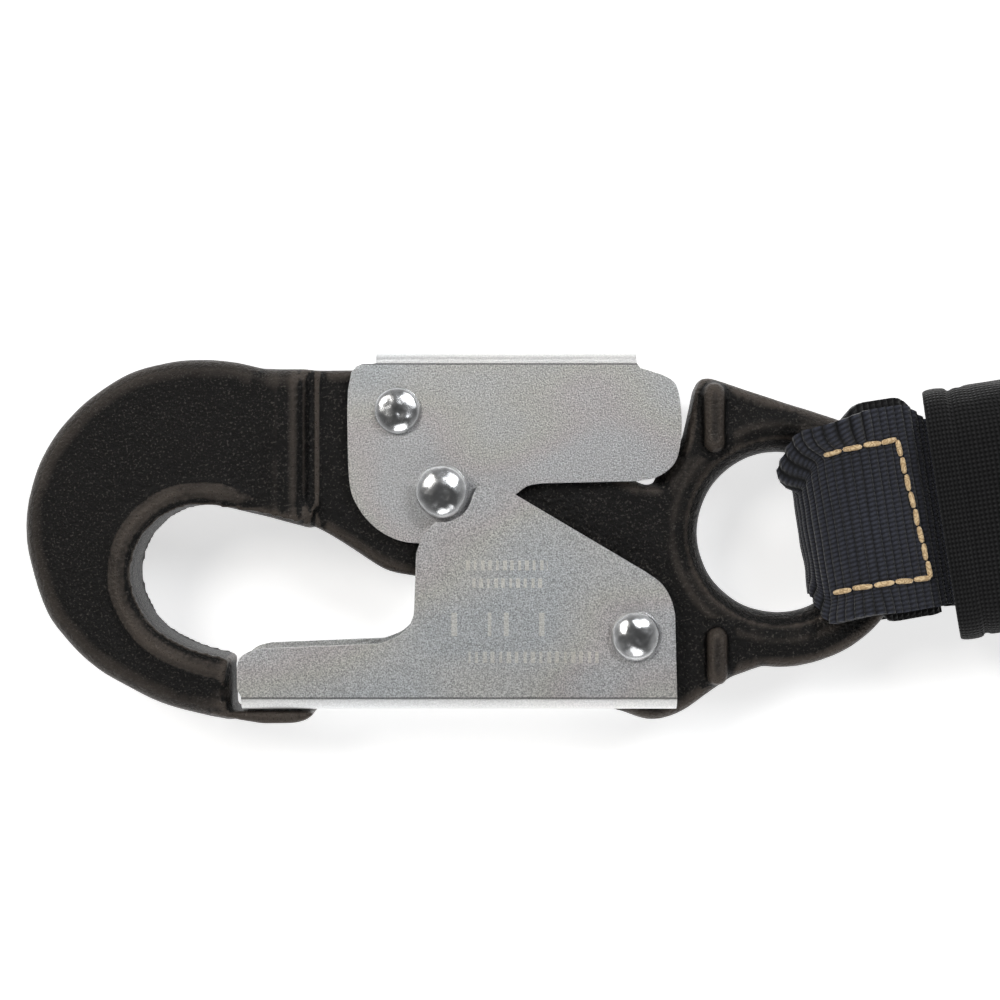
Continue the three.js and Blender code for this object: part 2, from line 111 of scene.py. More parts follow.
class Field:
    """A shader socket that can stand in a sum."""

    def __init__(self, tree, socket=None):
        self.tree, self.socket = tree, socket

    def node(self, kind, settings=None, inputs=None, output=0):
        made = self.tree.nodes.new(kind)
        for key, value in (settings or {}).items():
            if key == "stops":
                ramp = made.color_ramp
                while len(ramp.elements) < len(value):
                    ramp.elements.new(1)
                for element, (place, colour) in zip(ramp.elements, value):
                    element.position, element.color = place, (*colour, 1)
            else:
                setattr(made, key, value)
        for key, value in (inputs or {}).items():
            if isinstance(value, Field):
                self.tree.links.new(value.socket, made.inputs[key])
            else:
                made.inputs[key].default_value = value
        return Field(self.tree, made.outputs[output])

    def math(self, operation, *values):
        inputs = {i: value for i, value in enumerate(values)}
        return self.node("ShaderNodeMath", {"operation": operation}, inputs)

    def __add__(self, other):
        return self.math("ADD", self, other)

    def __sub__(self, other):
        return self.math("SUBTRACT", self, other)

    def __rsub__(self, other):
        return self.math("SUBTRACT", other, self)

    def __mul__(self, other):
        return self.math("MULTIPLY", self, other)

    def __truediv__(self, other):
        return self.math("DIVIDE", self, other)

    def __pow__(self, other):
        return self.math("POWER", self, other)

    __radd__ = __add__
    __rmul__ = __mul__


def wave(field):
    return field.math("SINE", field)


def between(field, low, high):
    """1 where the field lies between low and high, else 0."""
    return field.math("GREATER_THAN", field, low) * field.math("LESS_THAN", field, high)


def finish(name, **fixed):
    """A new material; fixed values go straight on its shader. Returns it with its fields."""
    material = bpy.data.materials.new(name)
    material.use_nodes = True
    shader = material.node_tree.nodes["Principled BSDF"]
    for key, value in fixed.items():
        shader.inputs[key.replace("_", " ")].default_value = value
    return material, Field(material.node_tree), shader


def grain(field, scale, detail=2.0, roughness=0.5, stretch=(1, 1, 1)):
    """Noise in the piece's own space; scale is in cells a metre."""
    place = field.node("ShaderNodeTexCoord", output=3)
    place = field.node("ShaderNodeMapping", inputs={"Vector": place, "Scale": stretch})
    return field.node(
        "ShaderNodeTexNoise",
        inputs={"Vector": place, "Scale": scale, "Detail": detail, "Roughness": roughness},
    )


def blend_colours(share, first, second):
    return share.node(
        "ShaderNodeMix", {"data_type": "RGBA"}, {0: share, 6: first, 7: second}, output=2
    )


def map_fields(paint, name):
    """Both distances of a piece's map, in millimetres."""
    place = paint.node("ShaderNodeUVMap", {"uv_map": name})
    return (paint.node("ShaderNodeSeparateXYZ", inputs={0: place}, output=axis) for axis in (0, 1))


def feed(shader, **fields):
    """Links fields to the shader; height is given as (field, depth in metres)."""
    for key, field in fields.items():
        if key == "height":
            height, depth = field
            bump = height.node("ShaderNodeBump", inputs={"Height": height, "Distance": depth})
            height.tree.links.new(bump.socket, shader.inputs["Normal"])
        else:
            field.tree.links.new(field.socket, shader.inputs[key.replace("_", " ")])


table_finish, paint, shader = finish("pale table", Base_Color=(0.9, 0.9, 0.9, 1), Roughness=0.7)
shader.inputs["Emission Color"].default_value = (1, 1, 1, 1)
shader.inputs["Emission Strength"].default_value = 0.6
feed(shader, Roughness=0.65 + 0.1 * grain(paint, 60))
bm = bmesh.new()
bmesh.ops.create_grid(bm, x_segments=1, y_segments=1, size=4)
table = put("table", mesh_of(bm, "table"))
table.data.materials.append(table_finish)

for place, size, power, tint in (
    ((-0.55, 0.5, 0.7), 0.42, 4.0, (1, 0.975, 0.94)),
    ((0.5, 0.45, 0.6), 0.4, 3.4, (0.97, 0.98, 1)),
    ((-0.1, -0.75, 0.5), 0.5, 2.0, (1, 1, 1)),
):
    lamp = put("softbox", bpy.data.lights.new("softbox", "AREA"))
    lamp.data.shape = "DISK"
    lamp.data.size = size
    lamp.data.energy = power
    lamp.data.color = tint
    lamp.location = Vector(place) + camera.location * 0.5
    aim = camera.location - Vector((0, 0, camera.location.z)) - lamp.location
    lamp.rotation_euler = aim.to_track_quat("-Z", "Y").to_euler()

sky = bpy.data.worlds.new("studio")
sky.use_nodes = True
bpy.context.scene.world = sky
air = Field(sky.node_tree)
height = air.node("ShaderNodeSeparateXYZ", inputs={0: air.node("ShaderNodeTexCoord")}, output=2)
ceiling = air.node(
    "ShaderNodeValToRGB",
    {"stops": [(0.0, (0.85,) * 3), (0.22, (0.4,) * 3), (0.7, (0.07,) * 3), (1.0, (0.04,) * 3)]},
    {0: height},
)
sky.node_tree.links.new(ceiling.socket, sky.node_tree.nodes["Background"].inputs["Color"])


# ---- Forged hook bodies ----
# Each hook body is one drop forging in steel: a thick bowl and nose, a thin web, two raised ribs
# and a round eye, all with soft forged fillets, drilled and slotted, then coated satin black.

WEB_HALF = 4.0
WEB_EDGE = 1.5
BOWL_HALF = 5.75
BOWL_EDGE = 2.6
BOWL_TOP = 24.7
BEAD_LEVEL = 4.55
BEAD_RADIUS = 2.1
BEAD_INSET = 2.15
BEAD_FALL = 0.24  # share of its level that the bead loses towards its end
TONGUE_HALF = 5.3
RIB_HALF = 6.4
RIB_END = 1.6
RIBS = ((-10.1, 12.0, 22.6), (-9.7, -23.0, -14.2))  # middle x, lowest y and highest y
RING_SECTION = (4.1, 4.35)
EYE_RADIUS = 12.2
RING_RADIUS = 20.4
GATE_SPINE = -26.4
LOCK_PIN = Vector((-51.0, 6.2, 0))
LEVER_TRAVEL = radians(26)
STEP_X = -71.0
DIP = 0.55  # where the bowl's face comes down to the web, then a ridge and a groove beside it
RIDGE = 0.3
GROOVE = 0.55
DRILL_REACH = 9
LEVER_HOLE = 2.9
GATE_HOLE = 3.3
PIN_HOLE = 2.4
SLOT_HALF = 2.55
VOXEL = 0.42


def spline(knots, steps=6):
    """A smooth line through the knots."""
    knots = [Vector((*knot, 0)) for knot in knots]
    ends = [knots[0], *knots, knots[-1]]
    line = []
    for a, b, c, d in zip(ends, ends[1:], ends[2:], ends[3:]):
        for i in range(steps):
            t = i / steps
            square, cube = t * t, t * t * t
            bend = (2 * a - 5 * b + 4 * c - d) * square + (3 * b - a - 3 * c + d) * cube
            line.append(0.5 * (2 * b + (c - a) * t + bend))
    return [*line, knots[-1]]


def arc(centre, radius, start, end, steps=16):
    """Places on a circle; angles in radians."""
    line = []
    for i in range(steps + 1):
        a = start + (end - start) * i / steps
        line.append(Vector((centre[0] + radius * cos(a), centre[1] + radius * sin(a), 0)))
    return line


def corners(*pairs):
    return [Vector((x, y, 0)) for x, y in pairs]


def only(kind, items):
    return [item for item in items if isinstance(item, kind)]


def slab(bm, outline, low, high, edge=0.0, segments=4):
    """A closed outline as a plate between two levels, its edges rounded."""
    line = [p for i, p in enumerate(outline) if (p - outline[i - 1]).length > 1e-4]
    face = bm.faces.new([bm.verts.new((p.x, p.y, low)) for p in line])
    raised = bmesh.ops.extrude_face_region(bm, geom=[face], use_keep_orig=True)["geom"]
    top = only(BMVert, raised)
    bmesh.ops.translate(bm, verts=top, vec=(0, 0, high - low))
    cap = only(BMFace, raised)[0]
    faces = {f for v in [*top, *face.verts] for f in v.link_faces}
    bmesh.ops.recalc_face_normals(bm, faces=list(faces))
    if edge:
        rim = [*cap.edges, *face.edges]
        bmesh.ops.bevel(
            bm, geom=rim, offset=edge, segments=segments, profile=0.5, affect="EDGES", material=-1
        )


def weld(bm, reach=1e-3):
    """Joins the places that lie together and turns every face outwards."""
    bmesh.ops.remove_doubles(bm, verts=bm.verts, dist=reach)
    bmesh.ops.recalc_face_normals(bm, faces=bm.faces)


def take_in(bm, mesh):
    """Adds a mesh to a bmesh and removes it."""
    bm.from_mesh(mesh)
    bpy.data.meshes.remove(mesh)


def settle(made, modifiers):
    """The mesh that these modifiers give, in order; the object that carried them is removed."""
    for kind, settings in modifiers:
        modifier = made.modifiers.new(kind, kind)
        for key, value in settings.items():
            setattr(modifier, key, value)
    mesh = bpy.data.meshes.new_from_object(made.evaluated_get(bpy.context.evaluated_depsgraph_get()))
    bpy.data.objects.remove(made)
    return mesh


def rod(name, line, radius, resolution):
    """The mesh of a round rod along a line of places."""
    curve = bpy.data.curves.new(name, "CURVE")
    curve.dimensions = "3D"
    curve.bevel_depth = radius
    curve.bevel_resolution = resolution
    curve.use_fill_caps = True
    strand = curve.splines.new("POLY")
    strand.points.add(len(line) - 1)
    for point, place in zip(strand.points, line):
        point.co = (*place, 1)
    return settle(put(name, curve), [])


def smooth_step(low, high, value):
    t = min(max((value - low) / (high - low), 0), 1)
    return t * t * (3 - 2 * t)


BOWL_BACK = [(-82.0, 25.7), (-87.0, 26.1), (-93.0, 25.6), (-99.6, 23.4), (-106.5, 18.2),
             (-111.6, 11.0), (-113.9, 1.0), (-111.3, -10.8), (-105.7, -18.4), (-98.6, -23.3),
             (-91.0, -26.6), (-82.6, -28.4)]
BOWL_MOUTH = [(-82.9, -18.9), (-89.2, -17.2), (-94.6, -13.8), (-97.6, -8.0), (-96.8, -1.8),
              (-92.6, 2.8), (-86.8, 4.2), (-78.8, 2.7), (-71.0, 0.6)]
back_rim = 6.3
valley = 7.2
slope = LEVER_PIVOT + back_rim * Vector((sin(LEVER_TRAVEL), cos(LEVER_TRAVEL), 0))
chin = radians(-97)
shoulder = radians(50.6)
web_line = [
    *corners((STEP_X - 5, LEVER_PIVOT.y + back_rim)),
    *arc(LEVER_PIVOT, back_rim, pi / 2, pi / 2 - LEVER_TRAVEL, 6),
    *corners((slope.x + (slope.y - valley) / tan(LEVER_TRAVEL), valley)),
    *spline([(-17.4, valley), (-16.0, 8.6), (-14.4, 14.0), (-12.8, 21.6)], 5),
    *corners((-11.9, 23.3), (-10.6, 23.4)),
    *arc((0, 0), RING_RADIUS, shoulder, 0, 20),
    *arc((0, 0), RING_RADIUS, 0, chin, 30),
    *spline([(-7.3, -21.9), (-11.6, -24.9), (-15.2, -27.3), (-19.5, -28.3), (-23.7, -27.1)], 5),
    *arc(GATE_PIVOT, 11.9, -1.75, -pi, 16),
    *spline([(-38.0, -12.2), (-45.0, -9.2), (-54.0, -6.9), (-59.6, -5.7), (-64.6, -2.5),
             (-69.4, 0.4)], 5),
    *corners((STEP_X - 5, 3.4)),
]


def drilled_web():
    """The thin web with its eye, slot and rivet holes."""
    bm = bmesh.new()
    slab(bm, web_line, -WEB_HALF, WEB_HALF, WEB_EDGE)
    web = put("web", mesh_of(bm, "web"))
    bm = bmesh.new()
    slab(bm, arc((0, 0), EYE_RADIUS + 2, 0, 2 * pi - 0.1, 40), -DRILL_REACH, DRILL_REACH)
    for pivot, radius in ((LEVER_PIVOT, LEVER_HOLE), (GATE_PIVOT, GATE_HOLE)):
        slab(bm, arc(pivot, radius, 0, 2 * pi - 0.2, 24), -DRILL_REACH, DRILL_REACH)
    arm = LOCK_PIN - LEVER_PIVOT
    reach, first = arm.length, atan2(arm.y, arm.x)
    last = first - LEVER_TRAVEL
    ends = [LEVER_PIVOT + reach * Vector((cos(a), sin(a), 0)) for a in (first, last)]
    slot = [
        *arc(LEVER_PIVOT, reach + SLOT_HALF, first, last, 8),
        *arc(ends[1], SLOT_HALF, last, last - pi, 10),
        *arc(LEVER_PIVOT, reach - SLOT_HALF, last, first, 8),
        *arc(ends[0], SLOT_HALF, first - pi, first - 2 * pi, 10),
    ]
    slab(bm, slot, -DRILL_REACH, DRILL_REACH)
    drill = put("drill", mesh_of(bm, "drill"))
    cut = settle(web, [("BOOLEAN", {"operation": "DIFFERENCE", "object": drill, "solver": "EXACT"})])
    bpy.data.objects.remove(drill)
    return cut


def mouth_bead(bm, level):
    """The rounded bead forged along the bowl's inner rim, on one face."""
    path = spline(BOWL_MOUTH, 4)
    inset = []
    for before, here, after in zip([path[0], *path], path, [*path[1:], path[-1]]):
        along = (after - before).normalized()
        place = here + BEAD_INSET * Vector((-along.y, along.x, 0))
        place.z = level * (1 - BEAD_FALL * smooth_step(-84, -77, place.x))
        inset.append(place)
    take_in(bm, rod("bead", inset, BEAD_RADIUS, 4))


def rounded_ring():
    """The eye's ring, round in section and cut off along the straight shoulder above it."""
    bm = bmesh.new()
    section = bmesh.ops.create_circle(bm, segments=20, radius=1)["verts"]
    beside = Matrix.Translation(((EYE_RADIUS + RING_RADIUS) / 2, 0, 0))
    upright = beside @ Matrix.Rotation(pi / 2, 4, "X") @ Matrix.Diagonal((*RING_SECTION, 1, 1))
    bmesh.ops.transform(bm, matrix=upright, verts=section)
    bmesh.ops.spin(
        bm, geom=[*bm.verts, *bm.edges], cent=(0, 0, 0), axis=(0, 0, 1), angle=2 * pi, steps=72,
        use_merge=True, use_duplicate=False,
    )
    weld(bm, 1e-4)
    start, end = *corners((-10.6, 23.4)), arc((0, 0), RING_RADIUS, shoulder, 0)[0]
    outward = Vector((start.y - end.y, end.x - start.x, 0)).normalized()
    cut = bmesh.ops.bisect_plane(
        bm, geom=[*bm.verts, *bm.edges, *bm.faces], plane_co=start - 0.3 * outward, plane_no=outward,
        clear_outer=True,
    )
    bmesh.ops.holes_fill(bm, edges=only(BMEdge, cut["geom_cut"]), sides=0)
    bmesh.ops.recalc_face_normals(bm, faces=bm.faces)
    return mesh_of(bm, "ring")


def forged_body():
    """The whole forging in the hook's own millimetres."""
    bm = bmesh.new()
    take_in(bm, drilled_web())
    bowl = [*corners((STEP_X, BOWL_TOP), (-78.0, BOWL_TOP)), *spline(BOWL_BACK, 5), *spline(BOWL_MOUTH, 5)]
    slab(bm, bowl, -BOWL_HALF, BOWL_HALF, BOWL_EDGE, 5)
    for side in (-1, 1):
        mouth_bead(bm, side * BEAD_LEVEL)
    top = GATE_SPINE - 0.4
    tongue = [*corners((-84.5, top), (-71.4, top)),
              *spline([(-70.2, top - 0.4), (-72.4, top - 1.7), (-78.0, top - 2.0)], 4),
              *corners((-86.0, top - 0.6))]
    slab(bm, tongue, -TONGUE_HALF, TONGUE_HALF, 0.7, 2)
    for x, low, high in RIBS:
        line = [
            *arc((x, high - RIB_END), RIB_END, 0, pi, 10),
            *arc((x, low + RIB_END), RIB_END, pi, 2 * pi, 10),
        ]
        slab(bm, line, -RIB_HALF, RIB_HALF, 1.3, 4)
    take_in(bm, rounded_ring())
    bmesh.ops.recalc_face_normals(bm, faces=bm.faces)
    blank = settle(put("forging", mesh_of(bm, "forging")), [
        ("REMESH", {"mode": "VOXEL", "voxel_size": VOXEL}),
        ("SMOOTH", {"factor": 0.5, "iterations": 7}),
    ])
    bm = bmesh.new()
    take_in(bm, blank)
    for v in bm.verts:
        x = v.co.x
        if x < STEP_X + 4 and abs(v.co.z) > 3:
            step = -DIP * smooth_step(-79.5, -75.5, x) * smooth_step(STEP_X + 0.8, STEP_X - 1, x)
            step += RIDGE * exp(-(((x - STEP_X + 1.2) / 0.8) ** 2))
            step -= GROOVE * exp(-(((x - STEP_X - 1.1) / 0.6) ** 2))
            v.co.z += copysign(step, v.co.z)
        v.co += v.normal * 0.1 * noise.noise(v.co * 0.22)
    bm.normal_update()
    wear = bm.verts.layers.float.new("wear")
    for v in bm.verts:
        v[wear] = sum(e.calc_face_angle_signed(0) for e in v.link_edges) / len(v.link_edges)
    return bm


forged_black, paint, shader = finish("forged black", Specular_IOR_Level=0.28)
# Mask of the convex edges, from the edges' mean bend: partly wear on the coat, partly a painted warm rim
# highlight.
edge_wear_and_highlight = paint.node("ShaderNodeAttribute", {"attribute_name": "wear"}, output=2)
edge_wear_and_highlight = paint.node("ShaderNodeMapRange", inputs={0: edge_wear_and_highlight, 1: 0.022, 2: 0.13})
fleck = paint.node("ShaderNodeMapRange", inputs={0: grain(paint, 3000, 1.0), 1: 0.57, 2: 0.74})
patch = grain(paint, 45, 3.0)
coat = blend_colours(patch, (0.0012, 0.0011, 0.0011, 1), (0.0045, 0.0041, 0.0038, 1))
# Convex edges lighter and warmer: wear on the coat plus a painted warm rim highlight.
coat = blend_colours(edge_wear_and_highlight * (0.4 + 0.5 * patch), coat, (0.11, 0.09, 0.075, 1))
coat = blend_colours(fleck * 0.5, coat, (0.12, 0.11, 0.1, 1))
feed(
    shader,
    Base_Color=coat,
    Roughness=0.36 - 0.08 * edge_wear_and_highlight + 0.1 * patch - 0.12 * fleck,
    Metallic=0.25 + 0.4 * fleck,
    height=(grain(paint, 1700, 3.0, 0.6), 0.00036),
)


def place_piece(bm, name, matrix, body, slot, material, replaces=()):
    """A copy of a bmesh as a finished piece in its place on the table."""
    mesh = bpy.data.meshes.new(name)
    bm.to_mesh(mesh)
    mesh.transform(matrix)
    mesh.materials.append(material)
    mesh.shade_smooth()
    made = put(name, mesh)
    if body:
        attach(made, body)
    if replaces:
        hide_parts(*replaces)
    return made


ENDS = ("harness", "anchor")
forging = forged_body()
for end in ENDS:
    place_piece(forging, end + "_forging", hook_place(end), end + "_hook", "forged_black",
                forged_black, [end + "_hook_body"])
forging.free()

# ---- Pressed lever and gate ----
# The lock lever and the gate are channels folded from zinc-plated sheet steel: two plates joined
# by a bent spine, with holes for the rivets. The gate's plates lie outside the lever's.

LEVER_SHEET = 1.3
GATE_SHEET = 1.5
LEVER_OUTER = 5.7
GATE_OUTER = 7.6
LEVER_SPINE = 26.9
GATE_SLOT_X = -30.0


def channel(outline, spine_y, outer, bend, holes, wall):
    """Half of a folded channel, one plate and half its spine, mirrored into a whole one.

    Outline edges on the line where the bend starts become the spine; wall gives the depth that
    the spine reaches below the bend at a place along X.
    """
    bm = bmesh.new()
    edges = []
    for loop in (outline, *holes):
        ring = [bm.verts.new((p.x, p.y, outer)) for p in loop]
        edges += [bm.edges.new((a, b)) for a, b in zip(ring, [*ring[1:], ring[0]])]
    bmesh.ops.triangle_fill(bm, use_beauty=True, edges=edges)
    bmesh.ops.recalc_face_normals(bm, faces=bm.faces)
    if bm.faces[:][0].normal.z < 0:
        bmesh.ops.reverse_faces(bm, faces=bm.faces)
    away = copysign(1, spine_y)
    start = spine_y - away * bend
    folded = [e for e in edges if e.is_valid and all(abs(v.co.y - start) < 1e-3 for v in e.verts)]
    for edge in folded:
        middle = sum(v.co.x for v in edge.verts) / 2
        swept = bmesh.ops.spin(
            bm, geom=[edge, *edge.verts], cent=(0, start, outer - bend), axis=(away, 0, 0),
            angle=-pi / 2, steps=6, use_merge=False, use_duplicate=False,
        )
        drop = wall(middle, outer - bend)
        if drop > 0:
            last = only(BMEdge, swept["geom_last"])
            raised = bmesh.ops.extrude_edge_only(bm, edges=last)["geom"]
            bmesh.ops.translate(bm, verts=only(BMVert, raised), vec=(0, 0, -drop))
    bmesh.ops.remove_doubles(bm, verts=bm.verts, dist=1e-3)
    half = [*bm.verts, *bm.edges, *bm.faces]
    bmesh.ops.mirror(bm, geom=half, matrix=Matrix(), merge_dist=1e-3, axis="Z")
    weld(bm)
    plate = max(bm.faces, key=lambda f: f.calc_center_median().z)
    if plate.normal.z < 0:
        bmesh.ops.reverse_faces(bm, faces=bm.faces)
    return bm


def round_hole(centre, radius):
    return arc(centre, radius, 0, 2 * pi - pi / 14, 27)


lever_bend = 1.5
lever_start = LEVER_SPINE - lever_bend
lever_line = [
    *corners((-64.6, 24.0), (-63.9, lever_start - 0.5), (-62.9, lever_start - 0.1)),
    *corners((-61.6, lever_start - 0.1)),
    *corners((-60.9, lever_start), (-21.8, lever_start), (-21.2, 24.7)),
    *spline([(-18.0, 23.7), (-15.9, 22.2), (-15.1, 18.0), (-15.2, 13.6), (-16.2, 10.3), (-18.8, 8.3),
             (-22.1, 7.7)], 5),
    *spline([(-35.7, 7.4), (-38.1, 7.0), (-40.1, 5.6), (-43.2, 3.4), (-46.4, 0.4), (-50.6, -1.4),
             (-54.9, -1.6), (-58.2, -0.9), (-61.3, 1.0), (-63.7, 4.0), (-64.9, 7.7), (-65.2, 16.9),
             (-65.1, 21.4)], 5),
]
gate_bend = 2.0
gate_start = GATE_SPINE + gate_bend
PIN_NOTCH = 4.6
gate_line = [
    *arc(LOCK_PIN, PIN_NOTCH, -0.15, -1.75, 14),
    *corners((-53.9, -0.6), (-54.8, -3.0), (-55.1, -11.3)),
    *spline([(-55.2, -12.3), (-55.9, -13.9), (-57.6, -15.5), (-60.3, -16.6)], 4),
    *spline([(-78.0, -17.3), (-79.9, -17.8), (-81.1, -18.7), (-81.5, -20.0)], 4),
    *corners((-81.5, -23.4), (-80.9, gate_start), (GATE_SLOT_X, gate_start), (-15.9, gate_start)),
    *spline([(-16.2, -12.2), (-16.8, -9.9), (-18.2, -7.6), (-20.6, -5.8)], 4),
    *corners((-43.9, 8.0), (-44.6, 8.2), (-45.2, 7.6)),
]
press = {
    "lock_lever": channel(
        lever_line, LEVER_SPINE, LEVER_OUTER, lever_bend,
        [round_hole(LEVER_PIVOT, LEVER_HOLE), round_hole(LOCK_PIN, PIN_HOLE)], lambda x, depth: depth,
    ),
    "gate": channel(
        gate_line, GATE_SPINE, GATE_OUTER, gate_bend, [round_hole(GATE_PIVOT, GATE_HOLE)],
        lambda x, depth: depth if x < GATE_SLOT_X else 0,
    ),
}

zinc_plate, paint, shader = finish("zinc plate", Metallic=1.0)
mottle = paint.node("ShaderNodeMapRange", inputs={0: grain(paint, 4300, 2.0, 0.6), 1: 0.32, 2: 0.68})
cloud = grain(paint, 60, 2.0)
drift = grain(paint, 38, 1.0, 0.5, (1, 1.6, 1))
tone = blend_colours(mottle, (0.33, 0.335, 0.335, 1), (0.84, 0.845, 0.84, 1))
tint = paint.node(
    "ShaderNodeValToRGB",
    {"stops": [(0.32, (0.94, 0.97, 1.0)), (0.43, (1.0, 1.0, 1.0)), (0.52, (1.0, 0.985, 0.94)),
               (0.6, (1.0, 0.95, 0.95)), (0.68, (0.98, 0.98, 1.0))]},
    {0: drift},
)
tone = paint.node(
    "ShaderNodeMix", {"data_type": "RGBA", "blend_type": "MULTIPLY"}, {0: 1.0, 6: tone, 7: tint}, output=2
)
along, across = map_fields(paint, "sheet")


def tick_row(low_x, high_x, low_y, high_y, pitch, share, phase):
    """A row of plain etched ticks on the plate, in the hook's own millimetres."""
    beat = wave(along * (2 * pi / pitch) + phase)
    second = wave(along * (2 * pi / (pitch * 2.7)) + 2 * phase)
    area = between(along, low_x, high_x) * between(across, low_y, high_y)
    return area * area.math("GREATER_THAN", beat + 0.4 * second, share)


ticks = tick_row(-47.5, -35.2, -5.6, -4.1, 1.1, 0.1, 0.4)
for row in (
    (-46.8, -35.6, -8.2, -6.8, 1.1, 0.1, 1.7),
    (-50.4, -35.4, -15.4, -11.9, 2.6, 0.86, 0.9),
    (-47.0, -27.6, -19.4, -17.7, 1.2, 0.1, 2.6),
):
    ticks = ticks + tick_row(*row)
tone = blend_colours(ticks * (0.25 + 0.35 * cloud), tone, (1.0, 0.97, 0.88, 1))
# Painted shade: a dark line where each spine's bend starts. Painted highlight: the bent strip beyond it is
# made whiter.
painted_bend_shade = between(across, -24.8, -24.5) + between(across, 25.15, 25.4)
painted_bend_highlight = across.math("LESS_THAN", across, -24.8) + across.math("GREATER_THAN", across, 25.4)
tone = blend_colours(painted_bend_shade * 0.6, tone, (0.1, 0.1, 0.1, 1))
tone = blend_colours(painted_bend_highlight * 0.6, tone, (1, 1, 1, 1))
feed(
    shader,
    Base_Color=tone,
    Roughness=0.36 + 0.14 * cloud + 0.06 * mottle,
    height=(0.6 * mottle + 0.6 * ticks - painted_bend_shade, 0.00006),
)


def sheet_uv(bm):
    """The hook's own X and Y as a map, so that both hooks carry the same marks."""
    layer = bm.loops.layers.uv.new("sheet")
    for face in bm.faces:
        for loop in face.loops:
            loop[layer].uv = loop.vert.co.xy


for part, body, thickness in (("lock_lever", "lever", LEVER_SHEET), ("gate", "gate", GATE_SHEET)):
    sheet_uv(press[part])
    for end in ENDS:
        made = place_piece(press[part], f"{end}_{part}_pressing", hook_place(end), f"{end}_{body}",
                           "zinc_plate", zinc_plate, [f"{end}_{part}"])
        wall = made.modifiers.new("sheet", "SOLIDIFY")
        wall.thickness, wall.offset, wall.use_even_offset = thickness * MM, -1, True
        edge = made.modifiers.new("edge", "BEVEL")
        edge.width, edge.segments, edge.angle_limit = 0.32 * MM, 3, radians(40)
        made.modifiers.new("flat", "WEIGHTED_NORMAL").keep_sharp = True
    press[part].free()


# ---- Rivets, lock pins and springs ----
# Each hook has two rivets and a lock pin, turned from steel and headed over in a press, which
# leaves a small dent in each polished dome. A wound wire spring sits round each rivet.

def turned(profile, steps=40):
    """A shape turned about Z from a list of (radius, level), from axis to axis."""
    bm = bmesh.new()
    line = [bm.verts.new((r, 0, z)) for r, z in profile]
    edges = [bm.edges.new(pair) for pair in zip(line, line[1:])]
    bmesh.ops.spin(
        bm, geom=[*line, *edges], cent=(0, 0, 0), axis=(0, 0, 1), angle=2 * pi, steps=steps,
        use_merge=True, use_duplicate=False,
    )
    weld(bm, 1e-4)
    return bm


def headed(shank, head, seat, rise):
    """A rivet with a domed head on each end, each with a shallow dent near its middle."""
    rim = 0.28
    dome = [(head * sin(a), seat + rim + (rise - rim) * cos(a))
            for a in (pi / 2 * i / 9 for i in range(9, -1, -1))]
    half = [(shank, 0), (shank, seat - 0.05), (head - 0.2, seat), (head, seat + 0.12), *dome]
    below = [(r, -z) for r, z in half[:0:-1]]
    bm = turned([*below, *half])
    for v in bm.verts:
        if abs(v.co.z) > seat + 0.2:
            off = (v.co.x - 0.12 * head) ** 2 + (v.co.y + 0.1 * head) ** 2
            dent = exp(-off / (0.2 * head) ** 2)
            facet = smooth_step(0.1, 0.6, (v.co.x + 0.6 * v.co.y) / head)
            v.co.z -= copysign(0.3 * dent + 0.22 * facet, v.co.z)
    return bm


polished_steel, paint, shader = finish("polished steel", Metallic=1.0)
scuff = grain(paint, 700, 3.0, 0.6)
feed(
    shader,
    Base_Color=blend_colours(scuff, (0.62, 0.63, 0.64, 1), (0.86, 0.87, 0.88, 1)),
    Roughness=0.17 + 0.16 * scuff,
    height=(grain(paint, 260, 2.0), 0.0004),
)
for part, body, centre, sizes in (
    ("lever_rivet", "hook", LEVER_PIVOT, (2.6, 3.5, LEVER_OUTER + 0.3, 1.5)),
    ("gate_rivet", "hook", GATE_PIVOT, (3.0, 3.75, GATE_OUTER + 0.3, 2.0)),
    ("lock_pin", "lever", LOCK_PIN, (2.1, 4.0, GATE_OUTER + 0.3, 2.0)),
):
    made = headed(*sizes)
    for end in ENDS:
        seat = hook_place(end) @ Matrix.Translation(centre)
        place_piece(made, f"{end}_{part}_head", seat, f"{end}_{body}", "polished_steel",
                    polished_steel, [f"{end}_{part}"])
    made.free()

spring_steel, paint, shader = finish("spring steel", Metallic=1.0)
drawn = grain(paint, 1400, 2.0)
feed(
    shader,
    Base_Color=blend_colours(drawn, (0.22, 0.22, 0.23, 1), (0.42, 0.42, 0.44, 1)),
    Roughness=0.3 + 0.2 * drawn,
    height=(drawn, 0.00003),
)
WIRE = 0.8
COIL_STEPS = 24
for part, centre, inner, low, turns, start, leg in (
    ("lever_spring", LEVER_PIVOT, 3.2, 1.6, 1.6, 0.2, 0.6),
    ("gate_spring", GATE_PIVOT, 3.6, 4.15, 1.2, 2.6, 7.0),
):
    reach = inner + WIRE / 2
    coil = []
    for i in range(round(COIL_STEPS * turns) + 1):
        a = start + 2 * pi * i / COIL_STEPS
        coil.append(Vector((reach * cos(a), reach * sin(a), low + WIRE / 2 + i / COIL_STEPS)))
    tail_end = coil[0] + leg * Vector((sin(start), -cos(start), 0))
    route = [tail_end, tail_end.lerp(coil[0], 0.5), *coil]
    bm = bmesh.new()
    take_in(bm, rod(part, [place + centre for place in route], WIRE / 2, 3))
    for end in ENDS:
        place_piece(bm, f"{end}_{part}_wire", hook_place(end), end + "_hook", "spring_steel",
                    spring_steel, [f"{end}_{part}"])
    bm.free()

# ---- Webbing loops and wear pads ----
# A loop of ribbed dark navy polyester webbing passes through each hook's eye, squeezed there so that
# its edges curl up over the ring. A black wear pad lies inside it, sewn on with tan thread.

